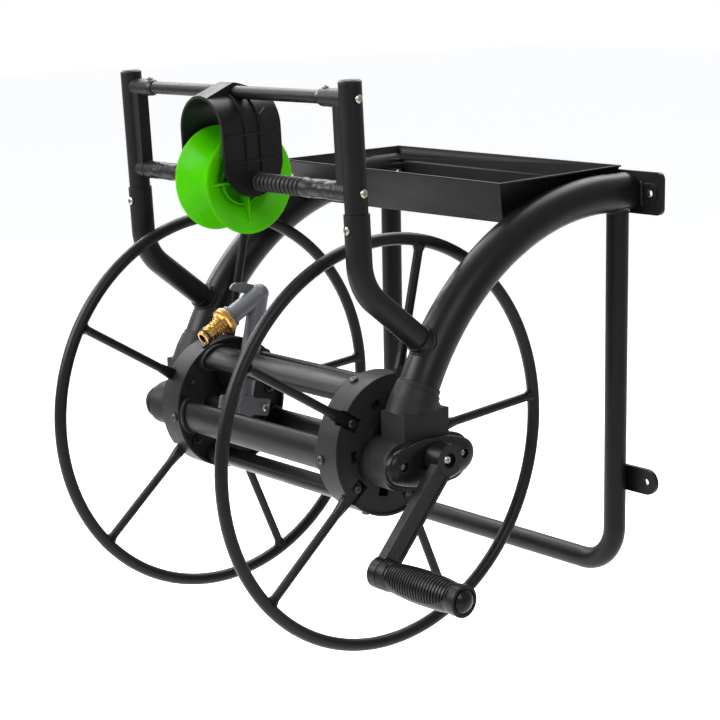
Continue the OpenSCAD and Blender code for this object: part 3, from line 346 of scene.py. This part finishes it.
# %% Grey pipe and pale bushes
add_finish("grey_plastic", cloud=25, dark=(0.080, 0.081, 0.092), pale=(0.104, 0.106, 0.118),
           rough=(80, 0.36, 0.46), grain=(1500, 2.0), bump=(0.20, 0.1 * MM), edge=0.8 * MM)
add_finish("bush_plastic", cloud=50, dark=(0.27, 0.25, 0.21), pale=(0.33, 0.31, 0.27),
           rough=(80, 0.45, 0.55), grain=(1500, 2.0), bump=(0.15, 0.1 * MM), edge=0.5 * MM)

# %% Dress the solid parts
slot_of = {s["node"]: s["material_slot"] for s in frame["record"]["subparts"]}
finish_of = dict(slot_of)
for name in ("left_housing_cover", "right_housing_cover", "crank_arm"):
    finish_of[name] = "satin_black"
for name in ("guide_hood", "left_bar_bracket", "right_bar_bracket", "left_post_cap", "right_post_cap"):
    finish_of[name] = "smooth_plastic"
finish_of["grip"] = "grip_plastic"
for name, part in nodes.items():
    part.data.materials.clear()
    part.data.materials.append(finishes[finish_of[name]])
print("dressed", len(nodes), "parts in", len(finishes), "finishes")

# %% [markdown]
# ## Profiles that are spun round
# The rubber sleeves are turned shapes. By hand one would draw half of the outline as a chain of points,
# then spin the chain round an axis. The helper does just that. It starts from a small plane merged to one
# point, extrudes that point from corner to corner, and spins the chain a full turn.

# %% Spin a profile
JOIN_DISTANCE = 0.02 * MM
TURNED_ANGLE = 40


def spin_profile(name, corners, middle, steps):
    """Spins a closed outline of (along, radius) corners round the X direction through middle."""
    bpy.ops.object.select_all(action="DESELECT")
    along, radius = corners[0]
    first = Vector(middle) + Vector((along, 0, radius))
    bpy.ops.mesh.primitive_plane_add(size=1 * MM, location=first)
    piece = bpy.context.object
    piece.name = name
    bpy.ops.object.mode_set(mode="EDIT")
    bpy.ops.mesh.select_all(action="SELECT")
    bpy.ops.mesh.merge(type="CENTER")
    for (x0, r0), (x1, r1) in zip(corners, corners[1:] + corners[:1]):
        bpy.ops.mesh.extrude_region_move(TRANSFORM_OT_translate={"value": (x1 - x0, 0, r1 - r0)})
    bpy.ops.mesh.select_all(action="SELECT")
    bpy.ops.mesh.spin(steps=steps, angle=2 * math.pi, center=middle, axis=(1, 0, 0))
    bpy.ops.mesh.select_all(action="SELECT")
    bpy.ops.mesh.remove_doubles(threshold=JOIN_DISTANCE)
    bpy.ops.mesh.normals_make_consistent(inside=False)
    bpy.ops.object.mode_set(mode="OBJECT")
    bpy.ops.object.transform_apply(location=True, rotation=True, scale=True)
    bpy.ops.object.shade_smooth_by_angle(angle=math.radians(TURNED_ANGLE))
    print(name, "has", len(piece.data.polygons), "faces")
    return piece


# %% [markdown]
# ## Ribbed sleeves
# A rubber sleeve sits on the lower bar at each side of the hood. Near the hood it is ribbed like a bellows.
# Its outer end is a smooth cuff, shrunk over the socket of the bracket, where the skin puckers. The ribs
# are round crowns with a narrow groove between them. They come from one short list of crown points that
# is repeated along the profile.

# %% Sleeve sizes
BAR_MIDDLE = Vector((0.0, -0.403178, 0.200697))
SLEEVE_RADIUS = 9.9 * MM
SLEEVE_VALLEY = 8.0 * MM
SLEEVE_BORE = 7.35 * MM
SLEEVE_STEPS = 48
CUFF_BORE = 8.75 * MM
CUFF_START = 111 * MM
CUFF_END = 173 * MM
CUFF_STEP = 0.3 * MM
CUFF_ROUND = 0.6 * MM
CUFF_SHOULDER = SLEEVE_RADIUS - 0.7 * MM
CUFF_SKIN = SLEEVE_RADIUS - 0.2 * MM
CUFF_LIP = SLEEVE_RADIUS - 0.6 * MM
CUFF_RINGS = 44
SOCKET_END = 132 * MM
RIB_COUNT = 11
CROWN_HALF = 0.40
CROWN = [(-1.0, 0.0), (-0.97, 0.45), (-0.85, 0.75), (-0.5, 0.96), (0.0, 1.0), (0.5, 0.96), (0.85, 0.75),
         (0.97, 0.45), (1.0, 0.0)]
print("a sleeve has", RIB_COUNT, "ribs and a cuff", round((CUFF_END - CUFF_START) / MM), "mm long")

# %% Outline of a sleeve


def sleeve_profile(start):
    """Closed outline of a sleeve that begins at start: ribs, cuff, then back along the bore."""
    pitch = (CUFF_START - start) / RIB_COUNT
    rise = SLEEVE_RADIUS - SLEEVE_VALLEY
    corners = [(start, SLEEVE_BORE)]
    for rib in range(RIB_COUNT):
        middle = start + (rib + 0.5) * pitch
        for across, up in CROWN:
            corners.append((middle + across * CROWN_HALF * pitch, SLEEVE_VALLEY + up * rise))
    corners += [(CUFF_START - CUFF_STEP, SLEEVE_VALLEY), (CUFF_START, CUFF_SHOULDER)]
    run = CUFF_END - 2 * CUFF_ROUND - CUFF_START
    for ring in range(CUFF_RINGS + 1):
        corners.append((CUFF_START + CUFF_ROUND + run * ring / CUFF_RINGS, CUFF_SKIN))
    corners += [(CUFF_END, CUFF_LIP), (CUFF_END, CUFF_BORE)]
    corners += [(SOCKET_END, CUFF_BORE), (SOCKET_END, SLEEVE_BORE)]
    return corners


# %% Puckers in the cuff
FOLD_START = CUFF_START + 3 * MM
FOLD_END = CUFF_END - 2 * MM
FOLD_FLOOR = SLEEVE_RADIUS - 0.4 * MM
FOLD_SIZE = 13 * MM
FOLD_HEIGHT = 2.4 * MM
FOLD_LEVEL = 0.42


def pucker_cuff(piece, side):
    """Lifts the skin of the cuff in soft folds, and leaves its bore alone."""
    skin = piece.vertex_groups.new(name="cuff_skin")
    chosen = []
    for vertex in piece.data.vertices:
        offset = vertex.co - BAR_MIDDLE
        radius = math.hypot(offset.y, offset.z)
        if FOLD_START < side * offset.x < FOLD_END and radius > FOLD_FLOOR:
            chosen.append(vertex.index)
    skin.add(chosen, 1.0, "REPLACE")
    folds = bpy.data.textures.new(piece.name + "_folds", "CLOUDS")
    folds.noise_scale = FOLD_SIZE
    folds.noise_depth = 1
    bpy.context.view_layer.objects.active = piece
    bpy.ops.object.modifier_add(type="DISPLACE")
    lift = piece.modifiers[-1]
    lift.texture = folds
    lift.texture_coords = "LOCAL"
    lift.vertex_group = skin.name
    lift.strength = FOLD_HEIGHT
    lift.mid_level = FOLD_LEVEL
    bpy.ops.object.modifier_apply(modifier=lift.name)
    print(piece.name, "puckered at", len(chosen), "points")


# %% Make both sleeves
CUFF_SHINE_START = CUFF_START + 1 * MM
SLEEVES = {"left_guide_sleeve": (-1, 51.8 * MM), "right_guide_sleeve": (1, 33.8 * MM)}
for node_name, (side, start) in SLEEVES.items():
    outline = [(side * along, radius) for along, radius in sleeve_profile(start)]
    sleeve = spin_profile(node_name.replace("guide", "rubber"), outline, BAR_MIDDLE, SLEEVE_STEPS)
    pucker_cuff(sleeve, side)
    sleeve.data.materials.clear()
    sleeve.data.materials.append(finishes["black_rubber"])
    sleeve.data.materials.append(finishes["shrunk_rubber"])
    for face in sleeve.data.polygons:
        face.material_index = 1 if side * face.center.x > CUFF_SHINE_START else 0
    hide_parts(node_name)
    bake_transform(sleeve)

# %% [markdown]
# ## Weld beads
# Where two tubes meet, the real frame has a weld bead under the paint. A bead is a thin ring that lies on
# one tube and follows the saddle of the other. A torus is added round the axis of the smaller tube, each
# of its points is pushed down onto the bigger one, and a cloud texture makes the ripples of the weld.

# %% Ripple, place and paint a bead


def finish_bead(piece, ripple_size, ripple_height, turned, body):
    """Ripples a bead, moves it to its place on the steel, and paints it like the tubes."""
    ripple = bpy.data.textures.new(piece.name + "_ripple", "CLOUDS")
    ripple.noise_scale = ripple_size
    bpy.ops.object.modifier_add(type="DISPLACE")
    lift = piece.modifiers[-1]
    lift.texture = ripple
    lift.texture_coords = "LOCAL"
    lift.strength = ripple_height
    bpy.ops.object.modifier_apply(modifier=lift.name)
    piece.data.transform(turned)
    bpy.ops.object.shade_smooth()
    piece.data.materials.clear()
    piece.data.materials.append(finishes["black_paint"])
    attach(piece, body)
    print(piece.name, "at", tuple(round(c, 3) for c in turned.translation))


# %% Weld bead on a saddle
SADDLE_REACH = 0.98
RING_SPREAD = 0.3
RIPPLE_SIZE = 3.2
RIPPLE_HEIGHT = 0.9
RING_STEPS = 64
BEAD_STEPS = 12


def weld_bead(name, place, big_radius, small_radius, bead, slope, lean, body):
    """Lays a bead where a tube of small_radius leaves a tube of big_radius.

    place is where the axes meet, slope the angle between the axes, and lean the turn about X that
    brings the axis of the small tube upright. Both angles are in degrees.
    """
    tilt = math.radians(slope)
    bpy.ops.object.select_all(action="DESELECT")
    bpy.ops.mesh.primitive_torus_add(major_radius=small_radius + RING_SPREAD * bead, minor_radius=bead,
                                     major_segments=RING_STEPS, minor_segments=BEAD_STEPS)
    piece = bpy.context.object
    piece.name = name
    for vertex in piece.data.vertices:
        aside = min(abs(vertex.co.x), big_radius * SADDLE_REACH)
        drop = math.sqrt(big_radius ** 2 - aside ** 2)
        vertex.co.z += (vertex.co.y * math.cos(tilt) + drop) / math.sin(tilt)
    turned = Matrix.Translation(place) @ Matrix.Rotation(math.radians(lean), 4, "X")
    finish_bead(piece, RIPPLE_SIZE * bead, RIPPLE_HEIGHT * bead, turned, body)


# %% Beads of the rear uprights and of the guide arms
FRAME_HALF = 195 * MM
ARCH_RADIUS = 21.75 * MM
ARCH_HIGH = 167 * MM
REAR_Y = -17.75 * MM
REAR_RADIUS = 12.75 * MM
REAR_BEAD = 2.1 * MM
ARM_FOOT = (-302.23 * MM, 25.87 * MM)
ARM_COLLAR = 15.3 * MM
ARM_BEAD = 1.7 * MM
ARM_SLOPE = 84.0
ARM_LEAN = 51.5
for side, label in SIDES:
    weld_bead(label + "_upright_bead", (side * FRAME_HALF, REAR_Y, ARCH_HIGH), ARCH_RADIUS, REAR_RADIUS,
              REAR_BEAD, 90, 180, "frame")
for side, label in SIDES:
    weld_bead(label + "_arm_bead", (side * FRAME_HALF, *ARM_FOOT), ARCH_RADIUS, ARM_COLLAR,
              ARM_BEAD, ARM_SLOPE, ARM_LEAN, "frame")

# %% [markdown]
# ## The upright bead on each wall plate
# At the outer side of the arch tube a short straight bead runs down the plate, thicker at both ends where
# the welder started and stopped. A ball is drawn out into a rod, its ends are swelled, and the same cloud
# texture ripples it.

# %% Straight bead
BEAD_HALF = 14.0 * MM
BEAD_RADIUS = 3.4 * MM
BEAD_WAIST = 0.72
BEAD_SWELL = 0.5
BEAD_SQUARENESS = 6
BEAD_LIMIT = 1.6
POLE_LIMIT = 0.0001
BALL_STEPS = (16, 36)
STRAIGHT_RIPPLE_SIZE = 4.0 * MM
STRAIGHT_RIPPLE_HEIGHT = 1.6 * MM


def straight_bead(name, place, body):
    """Lays a short upright bead at place."""
    bpy.ops.object.select_all(action="DESELECT")
    bpy.ops.mesh.primitive_uv_sphere_add(segments=BALL_STEPS[0], ring_count=BALL_STEPS[1], radius=1.0)
    piece = bpy.context.object
    piece.name = name
    for vertex in piece.data.vertices:
        height = vertex.co.z
        ends = abs(height) ** BEAD_SQUARENESS
        ball = math.sqrt(max(1.0 - height ** 2, POLE_LIMIT))
        rod = min(math.sqrt(max(1.0 - ends, 0.0)) / ball, BEAD_LIMIT)
        width = BEAD_RADIUS * (BEAD_WAIST + BEAD_SWELL * ends) * rod
        vertex.co = (vertex.co.x * width, vertex.co.y * width, BEAD_HALF * height)
    finish_bead(piece, STRAIGHT_RIPPLE_SIZE, STRAIGHT_RIPPLE_HEIGHT, Matrix.Translation(place), body)


# %% Both straight beads
BEAD_OUT = FRAME_HALF + ARCH_RADIUS + 3.0 * MM
BEAD_Y = -5.8 * MM
for side, label in SIDES:
    straight_bead(label + "_plate_bead", (side * BEAD_OUT, BEAD_Y, ARCH_HIGH), "frame")

# %% [markdown]
# ## Moulded skins
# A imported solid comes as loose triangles. A copy is merged and its normals are made anew, so that the
# moulded skin of the hood, the housing covers, the crank arm and the grip shades evenly.

# %% Copy and dress a solid part


def copy_of(node_name, name):
    """Makes a new piece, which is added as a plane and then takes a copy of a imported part's mesh."""
    bpy.ops.object.select_all(action="DESELECT")
    bpy.ops.mesh.primitive_plane_add()
    piece = bpy.context.object
    piece.name = name
    piece.data = nodes[node_name].data.copy()
    return piece


def stand_in(piece, node_name, body):
    """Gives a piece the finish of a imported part, and puts it in that part's place on its body."""
    piece.data.materials.clear()
    piece.data.materials.append(finishes[finish_of[node_name]])
    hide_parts(node_name)
    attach(piece, body)
    print(piece.name, "has", len(piece.data.polygons), "faces")


# %% Merged copies
MERGED = {
    "guide_hood": ("moulded_hood", 30, "guide"),
    "crank_arm": ("crank_arm_skin", 30, "drum"),
    "grip": ("grip_skin", 40, "grip"),
    "left_housing_cover": ("left_cover_skin", 30, "frame"),
    "right_housing_cover": ("right_cover_skin", 30, "frame"),
}
for node_name, (name, smooth_angle, body) in MERGED.items():
    piece = copy_of(node_name, name)
    bpy.ops.object.mode_set(mode="EDIT")
    bpy.ops.mesh.select_all(action="SELECT")
    bpy.ops.mesh.customdata_custom_splitnormals_clear()
    bpy.ops.mesh.remove_doubles(threshold=JOIN_DISTANCE)
    bpy.ops.object.mode_set(mode="OBJECT")
    bpy.ops.object.shade_smooth_by_angle(angle=math.radians(smooth_angle))
    stand_in(piece, node_name, body)

# %% [markdown]
# ## Tool tray
# The real tray is folded from one sheet. Its front wall leans out more than its sides do, and its rim is
# not quite level, as folded sheet seldom is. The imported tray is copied, its loose triangles are merged, and
# the copy is leaned by moving its points: the higher a point lies, the more it moves. The lift of the rim
# is given for each corner, named by its side and by its end, where -1 means left or front.

# %% Sizes of the tray
TRAY_FLOOR = 144 * MM
TRAY_TOP = 195 * MM
TRAY_SIDE = 165 * MM
TRAY_HALF = 187 * MM
TRAY_FRONT = -191 * MM
TRAY_LENGTH = 184 * MM
TRAY_ANGLE = 14
BEND_Y = -150 * MM
BEND_RUN = 22 * MM
FRONT_LEAN = 7 * MM
SIDE_LEAN = -3 * MM
FLOOR_LIFT = 1.5 * MM
RIM_LIFT = {(-1, -1): 0.5 * MM, (1, -1): -3.0 * MM, (1, 1): 1.5 * MM, (-1, 1): 3.0 * MM}
TRAY_JOIN = 0.01 * MM
print("the rim is", round((TRAY_TOP - TRAY_FLOOR) / MM), "mm above the floor of the tray")

# %% Lean the walls of the tray


def clamped(value):
    """Keeps a value between 0 and 1."""
    return min(max(value, 0.0), 1.0)


def lean_point(place):
    """Moves one point of the tray: its wall leans, and its rim goes a little out of level."""
    up = clamped((place.z - TRAY_FLOOR) / (TRAY_TOP - TRAY_FLOOR))
    across = clamped((place.x / TRAY_HALF + 1) / 2)
    back = clamped((place.y - TRAY_FRONT) / TRAY_LENGTH)
    front_lift = RIM_LIFT[-1, -1] * (1 - across) + RIM_LIFT[1, -1] * across
    back_lift = RIM_LIFT[-1, 1] * (1 - across) + RIM_LIFT[1, 1] * across
    lift = front_lift * (1 - back) + back_lift * back
    place.z += up * lift + (1 - up) * FLOOR_LIFT
    place.y -= up * clamped((BEND_Y - place.y) / BEND_RUN) * FRONT_LEAN
    if abs(place.x) > TRAY_SIDE:
        place.x += math.copysign(up * SIDE_LEAN, place.x)


tray = copy_of("tool_tray", "folded_tray")
bpy.ops.object.mode_set(mode="EDIT")
bpy.ops.mesh.select_all(action="SELECT")
bpy.ops.mesh.remove_doubles(threshold=TRAY_JOIN)
bpy.ops.object.mode_set(mode="OBJECT")
for vertex in tray.data.vertices:
    lean_point(vertex.co)
bpy.ops.object.shade_smooth_by_angle(angle=math.radians(TRAY_ANGLE))
stand_in(tray, "tool_tray", "frame")

# %% [markdown]
# ## Where the spokes meet the rings
# Each spoke is welded to its ring with the same kind of bead, only smaller. These turn with the drum.

# %% Small beads on both wheels
WHEEL_HALF = 153 * MM
WHEEL_RADIUS = 220 * MM
RING_RADIUS = 6.9 * MM
SPOKE_RADIUS = 5.0 * MM
SPOKE_BEAD = 1.5 * MM
SPOKE_COUNT = 5
SPOKE_TURN = 5
AXLE = Vector((0.0, -0.329653, -0.077868))
for side, label in SIDES:
    for number in range(SPOKE_COUNT):
        degrees = SPOKE_TURN + number * 360 / SPOKE_COUNT
        angle = math.radians(degrees)
        outward = Vector((0, math.cos(angle), math.sin(angle)))
        joint = AXLE + Vector((side * WHEEL_HALF, 0, 0)) + outward * WHEEL_RADIUS
        weld_bead(f"{label}_spoke_bead_{number}", joint, RING_RADIUS, SPOKE_RADIUS, SPOKE_BEAD, 90,
                  degrees + 90, "drum")

# %% View transform
bpy.context.scene.view_settings.view_transform = "Standard"
